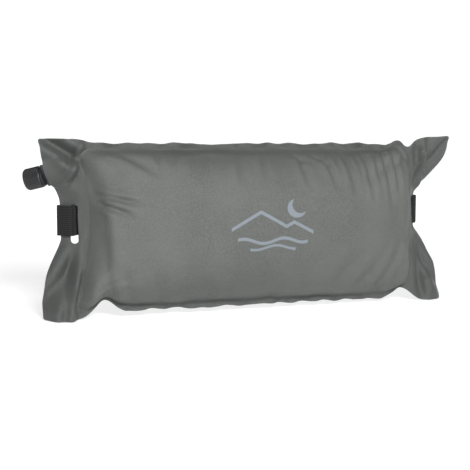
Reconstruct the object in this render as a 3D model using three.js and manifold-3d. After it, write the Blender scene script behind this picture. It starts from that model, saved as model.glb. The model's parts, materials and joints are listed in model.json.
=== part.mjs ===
// A self-inflating camp pillow standing on its lower weld edge, in millimetres.
// +Z is up, the front faces -Y, and the origin is the middle of the lower edge.
import * as THREE from "three";
import { mergeVertices } from "three/addons/utils/BufferGeometryUtils.js";
import Module from "manifold-3d";

const wasm = await Module();
wasm.setup();

// Overall sizes
const length = 490; // ear tip to ear tip
const height = 190; // lower weld edge to upper weld edge
const thickness = 96; // front to back of the filled body
const panelWall = 0.8; // one coated fabric panel
const layerGap = 0.3; // between the two panels where they are welded
const foamInset = 0.01; // share by which the foam stays inside the panels

// Weld margins around the body
const longWeld = 9; // along the upper and lower edges
const endWeld = 44; // wide ears at both ends
const weldBead = 2.5; // fillet where the body rises from a long weld
const endSquareness = 5; // how late the body rounds off towards an end
const sideSquareness = 2.4; // how late it rounds off towards a long edge

// How the elastic strap draws the ends in
const strapRise = 9; // strap centre above mid height
const strapWidth = 32;
const strapThick = 1.4;
const strapClear = 0.4; // air between the strap and what it touches
const edgePull = 28; // the outer edge moves inwards
const flatBeside = 3; // straight stretch of edge above and below the strap
const reachAbove = 37; // past it the edge eases back over about this height
const reachBelow = 22;
const footPull = 7; // the lower corners move inwards
const rootPull = 19; // the weld line moves inwards
const rootReach = 45;
const strapBack = 22; // the outer edge moves backwards
const backReach = 62;
const bendPower = 1.4; // how the backward curve grows across an ear
const footSpread = 12; // S curve of the lower ears, which stand on it
const footReach = 80;

// Strap slot in each ear
const slotWidth = 7;
const slotAbove = 1; // slot beyond the strap's upper edge
const slotBelow = 8;
const stripWidth = 8.5; // ear left outside the slot
const loopOffset = 3.3; // strap centre line from the middle of the strip
const sewnFrom = 22; // sewn overlap, measured along the band from the edge
const sewnTo = 36;
const tackWidth = 3;
const tackThick = 0.6;
const tackMargin = 2; // from each edge of the strap

// Twist valve, measured along its axis outwards from the edge of the ear
const valveBelowTop = 38;
const valveDroop = 15; // degrees below level
const boatLength = 24;
const boatHalfWidth = 13;
const boatHalfThick = 4.4;
const boatClear = 0.5;
const boatBore = 3.2;
const mouthClear = 0.3; // sleeve of the panels to the collar
const collarStart = 2.4;
const collarThick = 1.4;
const collarInset = 0.8; // collar smaller than the cap
const neckRadius = 7.2;
const neckWall = 2.6;
const spiderLength = 6;
const spiderRib = 1.2;
const spiderSetBack = 1; // past the inner end of the post
const capGap = 0.5; // collar to the closed cap
const capWall = 2.3;
const capWallEnd = 2.4; // outer end of the cap
const capEndGap = 1.35; // neck to the closed cap's end wall
const capHole = 4.8;
const ribCount = 40;
const ribDepth = 0.4;
const ribMargin = 1.7; // cap left smooth at each end
const threadPitch = 3;
const threadWidth = 0.9;
const threadDepth = 1.5; // neck to bore of the cap
const threadTurns = 2; // on the neck
const capThreadTurns = 0.5;
const threadInset = 1.1; // collar to the start of the thread
const threadClear = 0.4; // radial
const capTravel = 3.75; // from closed to open
const postRadius = 1.6;
const headClear = 0.6; // post's head in the cap's hole
const headSetBack = 0.3; // head below the cap's end face
const postRing = 0.5; // section radius of the seal on the post
const capRing = 0.7; // section radius of the seal in the cap
const ringClear = 0.25; // beside a seal, in its groove
const stopThick = 0.7;
const stopSplit = 1.6;
const stopClear = 0.4; // along the axis

// Grid over each panel, in cells
const bodyColumns = 24;
const bodyRows = 16;
const earColumns = 4;

const strapHeight = height / 2 + strapRise;
const bodyHalfHeight = height / 2 - longWeld;
const depthInside = thickness / 2 - layerGap / 2 - panelWall;

// ---- Shape of the flexible body ----

// 1 beside the strap, easing off to a third at reach above or below it.
function nearStrap(z, reach) {
  const away = Math.max(0, Math.abs(z - strapHeight) - strapWidth / 2 - flatBeside);
  return Math.exp(-((away / reach) ** 1.5));
}

function edgeX(z) {
  const atTip = nearStrap(height, reachAbove);
  const share = (nearStrap(z, reachAbove) - atTip) / (1 - atTip);
  if (z > strapHeight) return length / 2 - edgePull * share;
  return length / 2 - footPull - (edgePull - footPull) * nearStrap(z, reachBelow);
}

const rootX = (z) => length / 2 - endWeld - rootPull * nearStrap(z, rootReach);

// Middle surface between the panels: share runs from 0 at the weld line to 1 at the outer edge.
function middleY(share, z) {
  const back = strapBack * nearStrap(z, backReach) * share ** bendPower;
  const foot = Math.max(0, 1 - z / footReach) ** 2;
  return back + footSpread * foot * (share - 1.25 * Math.sin(Math.PI * share));
}

// Depth of the filled body in front of, or behind, the middle surface.
function crown(x, z, grow) {
  const along = Math.min(1, Math.abs(x) / (rootX(z) + grow));
  const across = Math.min(1, Math.abs(z - height / 2) / (bodyHalfHeight + grow));
  return depthInside * Math.sqrt((1 - along ** endSquareness) * (1 - across ** sideSquareness));
}

// Rows crowd towards the long edges, where the body curves most.
const bodyZ = (row) => height / 2 + bodyHalfHeight * Math.sin(Math.PI * (row / bodyRows - 0.5));
const bodyShare = (column) => Math.sin(Math.PI * (column / bodyColumns - 0.5));

function rowZ(row) {
  const last = bodyRows + 4;
  if (row === 0) return 0;
  if (row === 1) return longWeld - weldBead;
  if (row === last - 1) return height - longWeld + weldBead;
  if (row === last) return height;
  return bodyZ(row - 2);
}

// Place on the middle surface of a column and row of the panels' grid.
function gridPoint(column, row) {
  const z = rowZ(row);
  const fromLeft = column - earColumns;
  if (fromLeft >= 0 && fromLeft <= bodyColumns)
    return { x: rootX(z) * bodyShare(fromLeft), y: 0, z };
  const outside = fromLeft < 0 ? -fromLeft : fromLeft - bodyColumns;
  const share = (outside / earColumns) ** 1.6;
  const x = THREE.MathUtils.lerp(rootX(z), edgeX(z), share);
  return { x: fromLeft < 0 ? -x : x, y: middleY(share, z), z };
}

// A closed box of cells whose corners are moved by place(column, row, isBack).
function mappedBox(columns, rows, place) {
  const geometry = new THREE.BoxGeometry(columns, 2, rows, columns, 1, rows);
  const position = geometry.getAttribute("position");
  for (let i = 0; i < position.count; i++) {
    const column = Math.round(position.getX(i) + columns / 2);
    const row = Math.round(position.getZ(i) + rows / 2);
    const p = place(column, row, position.getY(i) > 0);
    position.setXYZ(i, p.x, p.y, p.z);
  }
  const front = geometry.groups[3]; // split the front cells along the same diagonal as the back ones
  const index = geometry.index.array;
  for (let i = front.start; i < front.start + front.count; i += 6) {
    const [a, b, d, , c] = index.slice(i, i + 6);
    index.set([a, b, c, a, c, d], i);
  }
  return geometry;
}

// ---- Solids and geometry ----

function toSolid(geometry, matrix = new THREE.Matrix4()) {
  const bare = geometry.clone().applyMatrix4(matrix);
  bare.deleteAttribute("normal");
  bare.deleteAttribute("uv");
  const merged = mergeVertices(bare, 1e-3);
  return new wasm.Manifold(
    new wasm.Mesh({
      numProp: 3,
      vertProperties: merged.getAttribute("position").array,
      triVerts: new Uint32Array(merged.index.array),
    }),
  );
}

function toGeometry(solid) {
  const mesh = solid.getMesh();
  const geometry = new THREE.BufferGeometry();
  geometry.setAttribute("position", new THREE.BufferAttribute(mesh.vertProperties, 3));
  geometry.setIndex(new THREE.BufferAttribute(mesh.triVerts, 1));
  geometry.computeVertexNormals();
  return geometry;
}

function cylinder(radius, from, to) {
  const geometry = new THREE.CylinderGeometry(radius, radius, to - from, 32);
  return geometry.rotateX(Math.PI / 2).translate(0, 0, (from + to) / 2);
}

// A round piece about Z from (radius, z) points, closed on itself.
function turned(points, sides) {
  const profile = points.map(([r, z]) => new THREE.Vector2(r, z));
  profile.push(profile[0].clone());
  return new THREE.LatheGeometry(profile, sides).rotateX(Math.PI / 2);
}

// A right-hand thread ridge about Z.
function threadRidge(inner, outer, from, to) {
  const turns = (to - from) / threadPitch;
  const steps = Math.ceil(turns * 24);
  const geometry = new THREE.BoxGeometry(1, 1, steps, 1, 1, steps);
  const position = geometry.getAttribute("position");
  for (let i = 0; i < position.count; i++) {
    const share = position.getZ(i) / steps + 0.5;
    const radius = position.getX(i) > 0 ? outer : inner;
    const taper = position.getX(i) > 0 ? 0.6 : 1;
    const angle = 2 * Math.PI * turns * share;
    const z = from + (to - from) * share - Math.sign(position.getY(i)) * (threadWidth / 2) * taper;
    position.setXYZ(i, radius * Math.cos(angle), radius * Math.sin(angle), z);
  }
  return geometry;
}

// ---- Valve frame: its axis leaves the ear along the ear's own curve ----

const valveHeight = height - valveBelowTop;

function earPoint(share, z) {
  const x = THREE.MathUtils.lerp(rootX(z), edgeX(z), share);
  return new THREE.Vector3(-x, middleY(share, z), z);
}

const valveOrigin = earPoint(1, valveHeight);
const outward = valveOrigin.clone().sub(earPoint(0.4, valveHeight)).normalize();
const upEdge = earPoint(1, valveHeight + 1).sub(earPoint(1, valveHeight - 1));
const acrossEar = new THREE.Vector3().crossVectors(outward, upEdge).normalize();
const valveAxis = outward.clone().applyAxisAngle(acrossEar, -THREE.MathUtils.degToRad(valveDroop));
const alongEar = new THREE.Vector3().crossVectors(acrossEar, valveAxis);
const valveFrame = new THREE.Matrix4()
  .makeBasis(alongEar, acrossEar, valveAxis)
  .setPosition(valveOrigin);

// Places along the axis, each following from the one before
const collarEnd = collarStart + collarThick;
const capStart = collarEnd + capGap;
const threadStart = collarEnd + threadInset;
const capThreadStart = threadStart + threadPitch / 2;
const capThreadEnd = capThreadStart + capThreadTurns * threadPitch;
const stopStart = capThreadEnd + capTravel + threadWidth / 2 + stopClear;
const stopEnd = stopStart + stopThick;
const sealAt = stopEnd + stopClear + capRing;
const neckEnd = sealAt + capTravel + capRing + ringClear;
const capWallStart = neckEnd + capEndGap;
const capEnd = capWallStart + capWallEnd;
const headStart = capWallStart - headSetBack;
const headEnd = capEnd - headSetBack;
const postRingAt = (headStart + headEnd) / 2;

// Radii that fit one another
const neckBore = neckRadius - neckWall;
const capBore = neckRadius + threadDepth;
const capRadius = capBore + capWall;
const collarRadius = capRadius - collarInset;
const capSealMiddle = neckRadius + ringClear + capRing;
const capGroove = capSealMiddle + capRing + ringClear;
const postSealMiddle = capHole - ringClear - postRing;
const headRadius = capHole - headClear;

// A lens section along the valve axis, for the boat and the channel around it.
function lensBar(halfWidth, halfThick, from, to) {
  const radius = (halfWidth ** 2 + halfThick ** 2) / (2 * halfThick);
  const spread = Math.asin(halfWidth / radius);
  const up = Math.PI / 2;
  const shape = new THREE.Shape();
  shape.absarc(0, halfThick - radius, radius, up - spread, up + spread, false);
  shape.absarc(0, radius - halfThick, radius, -up - spread, -up + spread, false);
  const bar = new THREE.ExtrudeGeometry(shape, {
    depth: to - from,
    bevelEnabled: false,
    curveSegments: 10,
  });
  return bar.translate(0, 0, from);
}

// ---- Pieces ----

// What fills the panels, drawn in from them by a share of its size.
function filling(inset) {
  const keep = 1 - inset;
  return mappedBox(bodyColumns, bodyRows, (column, row, isBack) => {
    const z = bodyZ(row);
    const x = rootX(z) * bodyShare(column);
    const y = (layerGap / 2 + crown(x, z, 0)) * keep;
    return { x: x * keep, y: isBack ? y : -y, z: height / 2 + (z - height / 2) * keep };
  });
}

const slotCuts = [-1, 1].map((end) => {
  const halfStraight = (strapWidth + slotAbove + slotBelow - slotWidth) / 2;
  const shape = new THREE.Shape();
  shape.absarc(0, halfStraight, slotWidth / 2, 0, Math.PI, false);
  shape.absarc(0, -halfStraight, slotWidth / 2, Math.PI, 2 * Math.PI, false);
  const cut = new THREE.ExtrudeGeometry(shape, {
    depth: thickness,
    bevelEnabled: false,
    curveSegments: 8,
  });
  cut.translate(0, 0, -thickness / 2).rotateX(Math.PI / 2);
  const slotX = edgeX(strapHeight) - stripWidth - slotWidth / 2;
  return toSolid(cut.translate(end * slotX, 0, strapHeight + (slotAbove - slotBelow) / 2));
});

// One fabric panel: side is -1 for the front and 1 for the back.
function panel(side) {
  const columns = bodyColumns + 2 * earColumns;
  const rows = bodyRows + 4;
  const sheet = mappedBox(columns, rows, (column, row, isBack) => {
    const { x, y, z } = gridPoint(column, row);
    const isOuter = isBack === side > 0;
    const depth = isOuter ? panelWall + crown(x, z, panelWall) : crown(x, z, 0);
    return { x, y: y + side * (layerGap / 2 + depth), z };
  });
  const oneSide = mappedBox(columns, rows, (column, row, isBack) => {
    const { x, y, z } = gridPoint(column, row);
    const isOuter = isBack === side > 0;
    return { x, y: isOuter ? side * thickness : y + (side * layerGap) / 2, z };
  });
  const bulge = valvePocket(panelWall, collarStart - mouthClear).intersect(toSolid(oneSide));
  let solid = toSolid(sheet).add(bulge).subtract(valvePocket(0, collarStart));
  for (const cut of slotCuts) solid = solid.subtract(cut);
  return toGeometry(largestBody(solid));
}

// Room for the valve's boat between the panels. The channel on into the body lies flat.
function valvePocket(wall, mouth) {
  const room = boatClear + wall;
  const pocket = lensBar(boatHalfWidth + room, boatHalfThick + room, -boatLength - room, mouth);
  return toSolid(pocket, valveFrame);
}

// Drops the slivers that a cut leaves beside a sheet.
function largestBody(solid) {
  return solid.decompose().reduce((a, b) => (a.volume() > b.volume() ? a : b));
}

function valveStem() {
  const boat = toSolid(lensBar(boatHalfWidth, boatHalfThick, -boatLength, collarEnd));
  const tube = toSolid(cylinder(neckRadius, collarStart, neckEnd));
  let stem = boat.add(toSolid(cylinder(collarRadius, collarStart, collarEnd))).add(tube);
  stem = stem.subtract(toSolid(cylinder(boatBore, -boatLength - 1, neckEnd)));
  stem = stem.subtract(toSolid(cylinder(neckBore, collarEnd, neckEnd + 1)));
  const grooveHalf = postRing + ringClear / 2;
  const grooveRadius = postSealMiddle - postRing - ringClear;
  const post = turned(
    [
      [0, threadStart],
      [postRadius, threadStart],
      [postRadius, headStart],
      [headRadius, headStart],
      [headRadius, postRingAt - grooveHalf],
      [grooveRadius, postRingAt - grooveHalf],
      [grooveRadius, postRingAt + grooveHalf],
      [headRadius, postRingAt + grooveHalf],
      [headRadius, headEnd],
      [0, headEnd],
    ],
    24,
  );
  stem = stem.add(toSolid(post));
  for (let spoke = 0; spoke < 3; spoke++) {
    const reach = (neckBore + neckRadius) / 2;
    const rib = new THREE.BoxGeometry(reach, spiderRib, spiderLength);
    rib.translate(reach / 2, 0, threadStart + spiderSetBack + spiderLength / 2);
    stem = stem.add(toSolid(rib.rotateZ((spoke * 2 * Math.PI) / 3)));
  }
  const threadEnd = threadStart + threadTurns * threadPitch;
  const ridge = threadRidge(neckRadius - 0.3, capBore - threadClear, threadStart, threadEnd);
  return toGeometry(stem.add(toSolid(ridge)));
}

function valveCap() {
  const grooveHalf = capRing + ringClear / 2;
  const body = turned(
    [
      [capBore, capStart],
      [capRadius - 0.4, capStart],
      [capRadius, capStart + 0.8],
      [capRadius, capEnd - 1],
      [capRadius - 1, capEnd],
      [capHole + 0.4, capEnd],
      [capHole, capEnd - 0.4],
      [capHole, capWallStart],
      [capBore, capWallStart],
      [capBore, sealAt + grooveHalf],
      [capGroove, sealAt + grooveHalf],
      [capGroove, sealAt - grooveHalf],
      [capBore, sealAt - grooveHalf],
    ],
    40,
  );
  const outline = [];
  for (let rib = 0; rib < ribCount; rib++) {
    for (const [share, radius] of [
      [0, capRadius - 0.1],
      [0.3, capRadius + ribDepth],
      [0.7, capRadius + ribDepth],
    ]) {
      const angle = (2 * Math.PI * (rib + share)) / ribCount;
      outline.push(new THREE.Vector2(radius * Math.cos(angle), radius * Math.sin(angle)));
    }
  }
  const grip = new THREE.Shape(outline);
  const inside = new THREE.Path();
  inside.absarc(0, 0, capRadius - 0.6, 0, 2 * Math.PI, true);
  grip.holes.push(inside);
  const ribs = new THREE.ExtrudeGeometry(grip, {
    depth: capEnd - capStart - 2 * ribMargin,
    bevelEnabled: false,
    curveSegments: 12,
  }).translate(0, 0, capStart + ribMargin);
  const ridge = threadRidge(neckRadius + threadClear, capBore + 0.3, capThreadStart, capThreadEnd);
  return toGeometry(toSolid(body).add(toSolid(ribs)).add(toSolid(ridge)));
}

function stopRing() {
  const inner = neckRadius + ringClear;
  const outer = capBore - threadClear;
  const ring = turned(
    [
      [inner, stopStart],
      [outer, stopStart],
      [outer, stopEnd],
      [inner, stopEnd],
    ],
    32,
  );
  const split = new THREE.BoxGeometry(capBore, stopSplit, 2 * stopThick);
  split.translate(capBore / 2, 0, (stopStart + stopEnd) / 2);
  return toGeometry(toSolid(ring).subtract(toSolid(split)));
}

// ---- Strap ----

// Highest line over the points, as a taut band would lie on them.
function taut(points) {
  const hull = [];
  for (const p of points) {
    while (hull.length > 1) {
      const [a, b] = hull.slice(-2);
      if ((b.x - a.x) * (p.y - a.y) - (b.y - a.y) * (p.x - a.x) < 0) break;
      hull.pop();
    }
    hull.push(p);
  }
  return hull;
}

// Outline of a ribbon of even thickness along a line of points.
function ribbon(points, thick) {
  const sides = [[], []];
  points.forEach((p, i) => {
    const before = points[Math.max(0, i - 1)];
    const after = points[Math.min(points.length - 1, i + 1)];
    const across = after.clone().sub(before).normalize().multiplyScalar(thick / 2);
    sides[0].push(new THREE.Vector2(p.x - across.y, p.y + across.x));
    sides[1].unshift(new THREE.Vector2(p.x + across.y, p.y - across.x));
  });
  return new THREE.Shape([...sides[0], ...sides[1]]);
}

// Strap centre line in plan, from the sewn tail at the left ear to the one at the right.
function strapLine() {
  const edge = edgeX(strapHeight);
  const root = rootX(strapHeight);
  const onEar = (x) => new THREE.Vector2(x, middleY((x - root) / (edge - root), strapHeight));
  const outerEnd = onEar(edge);
  const slotSide = onEar(edge - stripWidth);
  const outward = outerEnd.clone().sub(slotSide).normalize();
  const front = new THREE.Vector2(outward.y, -outward.x);
  const around = (centre, degrees) => {
    const angle = THREE.MathUtils.degToRad(degrees);
    return centre
      .clone()
      .addScaledVector(front, loopOffset * Math.cos(angle))
      .addScaledVector(outward, loopOffset * Math.sin(angle));
  };
  const bandStart = around(outerEnd, 180);
  const back = [];
  for (let i = -24; i <= 24; i++) {
    const x = (i / 24) * (root - 1);
    const surface = layerGap / 2 + panelWall + crown(x, height / 2, panelWall);
    back.push(new THREE.Vector2(x, surface + strapClear + strapThick / 2));
  }
  const mirrored = (p) => new THREE.Vector2(-p.x, p.y);
  const band = taut([mirrored(bandStart), ...back, bandStart]);
  const along = band[band.length - 2].clone().sub(bandStart).normalize();
  const inward = new THREE.Vector2(along.y, -along.x);
  if (inward.y > 0) inward.negate();
  const sewn = (distance) =>
    bandStart
      .clone()
      .addScaledVector(along, distance)
      .addScaledVector(inward, strapThick + layerGap);
  const loop = [sewn(sewnTo), sewn((sewnFrom + sewnTo) / 2), sewn(sewnFrom)];
  for (const degrees of [-115, -90, -60, -30, 0]) loop.push(around(slotSide, degrees));
  for (const degrees of [0, 45, 90, 135]) loop.push(around(outerEnd, degrees));
  const smoothLoop = new THREE.CatmullRomCurve3(
    [...loop, bandStart].map((p) => new THREE.Vector3(p.x, p.y, 0)),
    false,
    "centripetal",
  )
    .getPoints(40)
    .map((p) => new THREE.Vector2(p.x, p.y));
  const rightLoop = smoothLoop.slice(0, -1).reverse();
  return { line: [...rightLoop.map(mirrored).reverse(), ...band, ...rightLoop], bandStart, along };
}

const strapPath = strapLine();

function strap() {
  const geometry = new THREE.ExtrudeGeometry(ribbon(strapPath.line, strapThick), {
    depth: strapWidth,
    bevelEnabled: false,
  });
  return geometry.translate(0, 0, strapHeight - strapWidth / 2);
}

// A row of stitches on the outside of the band, where the tail is sewn on.
function barTack(end) {
  const { bandStart, along } = strapPath;
  const middle = bandStart.clone().addScaledVector(along, (sewnFrom + sewnTo) / 2);
  const outside = new THREE.Vector2(-along.y, along.x);
  if (outside.y < 0) outside.negate();
  middle.addScaledVector(outside, strapThick / 2 + layerGap + tackThick / 2);
  const tack = new THREE.BoxGeometry(tackWidth, tackThick, strapWidth - 2 * tackMargin);
  tack.rotateZ(end * Math.atan2(-along.y, -along.x));
  return tack.translate(end * middle.x, middle.y, strapHeight);
}

// ---- Assembly ----

const material = (color, roughness) =>
  new THREE.MeshStandardMaterial({ color, roughness, metalness: 0 });
const shellFabric = material(0x676b68, 0.62);
const elastic = material(0x1b1b1d, 0.85);
const plastic = material(0x1c1c1e, 0.45);
const rubber = material(0x101010, 0.8);
const foam = material(0xd9d3bd, 0.95);

const pillow = new THREE.Group();
const valve = new THREE.Group();
valveFrame.decompose(valve.position, valve.quaternion, valve.scale);

function place(group, name, geometry, finish) {
  const mesh = new THREE.Mesh(geometry, finish);
  mesh.name = name;
  group.add(mesh);
  return mesh;
}

place(pillow, "front_panel", panel(-1), shellFabric);
place(pillow, "back_panel", panel(1), shellFabric);
place(pillow, "foam_core", filling(foamInset), foam);
place(pillow, "elastic_strap", strap(), elastic);
place(pillow, "left_bar_tack", barTack(-1), elastic);
place(pillow, "right_bar_tack", barTack(1), elastic);
pillow.add(valve);
place(valve, "valve_stem", valveStem(), plastic);
place(valve, "valve_stop_ring", stopRing(), plastic);
place(valve, "valve_cap", valveCap(), plastic);
const capSeal = new THREE.TorusGeometry(capSealMiddle, capRing, 6, 28);
place(valve, "cap_seal_ring", capSeal, rubber).position.z = sealAt;
const postSeal = new THREE.TorusGeometry(postSealMiddle, postRing, 6, 20);
place(valve, "post_seal_ring", postSeal, rubber).position.z = postRingAt;

export default pillow;
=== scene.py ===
import json
import math
import bmesh
import bpy
from mathutils import Matrix, Vector, noise


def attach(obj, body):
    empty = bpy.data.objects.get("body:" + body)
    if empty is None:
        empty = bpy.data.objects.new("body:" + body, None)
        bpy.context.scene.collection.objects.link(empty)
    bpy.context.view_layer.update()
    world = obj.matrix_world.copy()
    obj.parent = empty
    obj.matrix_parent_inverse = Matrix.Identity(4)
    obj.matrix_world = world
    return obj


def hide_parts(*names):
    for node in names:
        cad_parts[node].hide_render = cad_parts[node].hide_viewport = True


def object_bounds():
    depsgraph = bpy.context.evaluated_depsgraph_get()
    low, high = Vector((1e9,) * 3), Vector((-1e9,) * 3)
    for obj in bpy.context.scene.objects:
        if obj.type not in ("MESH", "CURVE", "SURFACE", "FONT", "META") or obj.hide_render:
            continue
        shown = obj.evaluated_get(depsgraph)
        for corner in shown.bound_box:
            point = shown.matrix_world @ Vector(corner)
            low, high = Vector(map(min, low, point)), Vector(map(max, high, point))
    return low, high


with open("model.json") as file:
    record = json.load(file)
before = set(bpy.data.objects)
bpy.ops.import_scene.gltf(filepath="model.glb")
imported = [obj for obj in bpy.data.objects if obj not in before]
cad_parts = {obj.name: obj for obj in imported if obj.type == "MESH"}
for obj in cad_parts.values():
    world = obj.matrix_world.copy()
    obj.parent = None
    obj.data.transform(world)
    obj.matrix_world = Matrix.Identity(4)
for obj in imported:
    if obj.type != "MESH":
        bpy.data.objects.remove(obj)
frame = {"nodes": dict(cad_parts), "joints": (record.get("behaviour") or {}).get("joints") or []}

cadLow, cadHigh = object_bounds()
world = bpy.context.scene.collection
print("frame loaded")


def makePiece(name, bm, body="pillow", replaces=()):
    mesh = bpy.data.meshes.new(name)
    bm.to_mesh(mesh)
    bm.free()
    mesh.shade_smooth()
    piece = bpy.data.objects.new(name, mesh)
    world.objects.link(piece)
    if body:
        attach(piece, body)
    if replaces:
        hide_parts(*replaces)
    return piece


def addModifier(piece, kind, **settings):
    modifier = piece.modifiers.new(kind.lower(), kind)
    for key, value in settings.items():
        setattr(modifier, key, value)
    return modifier


def bakeModifiers(piece):  # what the modifiers make becomes the piece's own mesh
    graph = bpy.context.evaluated_depsgraph_get()
    baked = bpy.data.meshes.new_from_object(piece.evaluated_get(graph), depsgraph=graph)
    old = piece.data
    piece.modifiers.clear()
    piece.data = baked
    bpy.data.meshes.remove(old)
    baked.name = piece.name


def smoothShare(value, low, high):
    share = min(1, max(0, (value - low) / (high - low)))
    return share * share * (3 - 2 * share)


def hump(value, middle, width):
    return math.exp(-(((value - middle) / width) ** 2))


def turnProfile(bm, profile, steps):  # a closed (radius, height) outline turned about Z
    ring = [bm.verts.new((r, 0, z)) for r, z in profile]
    edges = [bm.edges.new((ring[i], ring[(i + 1) % len(ring)])) for i in range(len(ring))]
    bmesh.ops.spin(
        bm, geom=ring + edges, cent=(0, 0, 0), axis=(0, 0, 1), dvec=(0, 0, 0),
        angle=2 * math.pi, steps=steps, use_merge=True, use_duplicate=False,
    )
    bmesh.ops.remove_doubles(bm, verts=bm.verts, dist=1e-6)
    bmesh.ops.recalc_face_normals(bm, faces=bm.faces)


shell = {
    "height": .190,
    "length": .490,
    "depth": .047,  # front or back of the middle, as the simulation starts
    "flatLength": .514,  # the two sheets before they are filled
    "flatWidth": .232,
    "longWeld": .009,
    "endWeld": .050,
    "cornerRadius": .014,
    "cell": .0042,
    "strapHeight": .104,
    "strapWidth": .032,
    "edgePull": {-1: .028, 1: .033},
    "edgeReach": {-1: .022, 1: .052},  # below the strap
    "strapBack": {-1: .022, 1: .041},
    "backReach": {-1: .062, 1: .045},
    "footPull": .007,
    "root": {-1: .203, 1: .182},  # weld line of each end
    "rootPull": {-1: .012, 1: .003},
    "seed": .0012,
    "frames": 45,
    "pressure": 6,
    "volume": .0045,
    "tension": 80,
    "shear": 2,
    "bending": .005,
    "holdWeld": .1,
    "holdEar": .03,
    "holdTip": .35,
    "wall": .0005,
    "gap": .0003,
}


def nearStrap(z, reach):
    away = max(0, abs(z - shell["strapHeight"]) - shell["strapWidth"] / 2 - .003)
    return math.exp(-((away / reach) ** 1.5))


def earRoot(side, z):  # the weld line between body and ear
    return shell["root"][side] - shell["rootPull"][side] * nearStrap(z, .045)


def earEdge(side, z):
    half, pull = shell["length"] / 2, shell["edgePull"][side]
    if z > shell["strapHeight"]:
        return half - pull * nearStrap(z, .037)
    foot = shell["footPull"]
    return half - foot - (pull - foot) * nearStrap(z, shell["edgeReach"][side])


def earBack(side, share, z):
    back = shell["strapBack"][side] * nearStrap(z, shell["backReach"][side]) * share ** 1.4
    foot = max(0, 1 - z / .08) ** 2
    return back + .012 * foot * (share - 1.25 * math.sin(math.pi * share))


def weldDistance(u, v):  # to the rounded weld line on the flat sheet, negative inside
    radius = shell["cornerRadius"]
    dx = abs(u) - (shell["flatLength"] / 2 - shell["endWeld"] - radius)
    dy = abs(v) - (shell["flatWidth"] / 2 - shell["longWeld"] - radius)
    return math.hypot(max(dx, 0), max(dy, 0)) + min(max(dx, dy), 0) - radius


def startPlace(u, v, side):  # side is -1 front, 1 back, 0 on the weld and the margins
    height = shell["height"]
    flatHalf = shell["flatWidth"] / 2 - shell["longWeld"]
    bodyHalf = height / 2 - shell["longWeld"]
    z = height / 2 + bodyHalf * v / flatHalf
    if abs(v) > flatHalf:
        z = height / 2 + math.copysign(bodyHalf + abs(v) - flatHalf, v)
    rootFlat = shell["flatLength"] / 2 - shell["endWeld"]
    end = -1 if u < 0 else 1
    root = earRoot(end, z) + (.010 * max(0, 1 - z / .06) ** 1.5 if end < 0 else 0)
    x, y = u / rootFlat * root, 0
    if abs(u) > rootFlat:
        share = (abs(u) - rootFlat) / shell["endWeld"]
        x = math.copysign(root + share * (earEdge(end, z) - root), u)
        y = earBack(end, share, z)
    reach = abs(x)
    low = max(0, 1 - z / .05) ** 1.5
    high = max(0, 1 - (height - z) / .05) ** 1.5
    inner = 1 / (1 + math.exp((reach - .196) / .004))
    z += low * (.004 * inner + .011 * hump(reach, .176, .013))
    puff = .008 * hump(reach, .184, .007) - .004 * hump(reach, .166, .009)
    z -= high * (.004 * inner + (puff if u > 0 else 0))
    if side:
        along = min(1, abs(u) / rootFlat) ** 5
        across = min(1, abs(v) / flatHalf) ** 2.4
        y = side * shell["depth"] * math.sqrt((1 - along) * (1 - across))
    rough = noise.noise(Vector((x * 55 + 7 * side, z * 9, side * 3.1)))
    rough += .5 * noise.noise(Vector((x * 110, z * 20, side * 5.3)))
    return Vector((x, y + shell["seed"] * rough, z))


def cutShell():  # two sheets joined at the weld line, in their start shape
    bm = bmesh.new()
    columns = round(shell["flatLength"] / shell["cell"])
    rows = round(shell["flatWidth"] / shell["cell"])
    bmesh.ops.create_grid(bm, x_segments=columns, y_segments=rows, size=.5)
    bmesh.ops.scale(bm, vec=(shell["flatLength"], shell["flatWidth"], 1), verts=bm.verts)
    flat = bm.verts.layers.float_vector.new("flat")
    region = bm.faces.layers.int.new("region")
    body = [f for f in bm.faces if weldDistance(*f.calc_center_median().xy) < 0]
    inside = set(body)
    border = {v for f in body for v in f.verts if any(g not in inside for g in v.link_faces)}
    step = 1e-4
    for v in border:  # onto the rounded weld line
        x, y = v.co.xy
        distance = weldDistance(x, y)
        slopeX = (weldDistance(x + step, y) - weldDistance(x - step, y)) / (2 * step)
        slopeY = (weldDistance(x, y + step) - weldDistance(x, y - step)) / (2 * step)
        v.co.x -= distance * slopeX
        v.co.y -= distance * slopeY
    loose = [v for v in bm.verts if v not in border and not v.is_boundary]
    for i in range(6):
        bmesh.ops.smooth_vert(
            bm, verts=loose, factor=.5, use_axis_x=True, use_axis_y=True, use_axis_z=False
        )
    for v in bm.verts:
        v[flat] = v.co
    copied = bmesh.ops.duplicate(bm, geom=body)["geom"]
    backFaces = [g for g in copied if isinstance(g, bmesh.types.BMFace)]
    bmesh.ops.reverse_faces(bm, faces=backFaces)
    for f in body:
        f[region] = 1
    for f in backFaces:
        f[region] = 2
    for v in bm.verts:
        onWeld = abs(weldDistance(v[flat].x, v[flat].y)) < 2e-6
        marks = {f[region] for f in v.link_faces}
        side = 0 if onWeld or 0 in marks else (1 if 2 in marks else -1)
        v.co = startPlace(v[flat].x, v[flat].y, side)
    welded = [v for v in bm.verts if abs(weldDistance(v[flat].x, v[flat].y)) < 2e-6]
    bmesh.ops.remove_doubles(bm, verts=welded, dist=1e-6)
    bm.verts.index_update()
    bm.verts.ensure_lookup_table()
    return bm


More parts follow.
